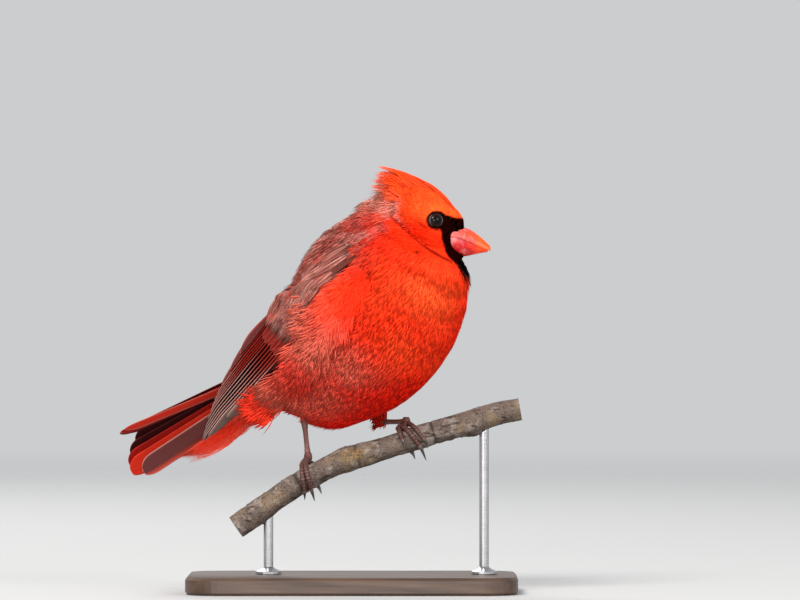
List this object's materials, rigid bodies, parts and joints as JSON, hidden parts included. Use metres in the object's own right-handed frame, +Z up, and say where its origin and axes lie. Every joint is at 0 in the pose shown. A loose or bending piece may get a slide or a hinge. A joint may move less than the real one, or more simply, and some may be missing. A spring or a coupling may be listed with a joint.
{
  "type": "male northern cardinal perched on a cut branch, still museum model on a display stand",
  "caption": "Life-size still model of a fluffed, crested red songbird gripping a short cut branch, held over a flat base by two short rods.",
  "frame": {"origin": "centre of the display base's underside, on the floor", "axes": "+Z up; +X to the right as the picture shows it, along the perch towards its high end; the bird heads +X turned 30 degrees towards -Y, with its head turned back to about 6 degrees"},
  "size_m": [0.1839, 0.0971, 0.1935],
  "materials": {
    "body_plumage": "soft, fluffed contour feathers, red, browner grey over the back and mottled pinkish grey on the flanks",
    "head_plumage": "short soft feathers, orange red, with a black mask round the bill",
    "crest_feathers": "narrow pointed feathers, orange red",
    "wing_feathers": "smooth vanes, dull red edges and dusky grey inner webs",
    "tail_feathers": "smooth vanes, dull red with a dusky underside",
    "bill": "satin horn, coral red",
    "eye": "wet dark brown",
    "leg_skin": "scaly skin, brownish red",
    "claw": "dark horn",
    "bark": "rough grey-brown bark with pale lichen",
    "dark_wood": "satin dark wood",
    "steel": "satin"
  },
  "bodies": {
    "root": {"torso": "body_plumage", "neck": "body_plumage", "head": "head_plumage", "crest": "crest_feathers", "wing_right": "wing_feathers", "wing_left": "wing_feathers", "tail": "tail_feathers", "bill_upper": "bill", "bill_lower": "bill", "eye_right": "eye", "eye_left": "eye", "thigh_right": "body_plumage", "thigh_left": "body_plumage", "tarsus_right": "leg_skin", "tarsus_left": "leg_skin", "foot_right": "leg_skin", "foot_left": "leg_skin", "perch": "bark", "stand_base": "dark_wood", "stand_rod_low": "steel", "stand_rod_high": "steel", "claw_right_inner": "claw", "claw_right_middle": "claw", "claw_right_outer": "claw", "claw_right_hallux": "claw", "claw_left_inner": "claw", "claw_left_middle": "claw", "claw_left_outer": "claw", "claw_left_hallux": "claw"}
  },
  "joints": []
}
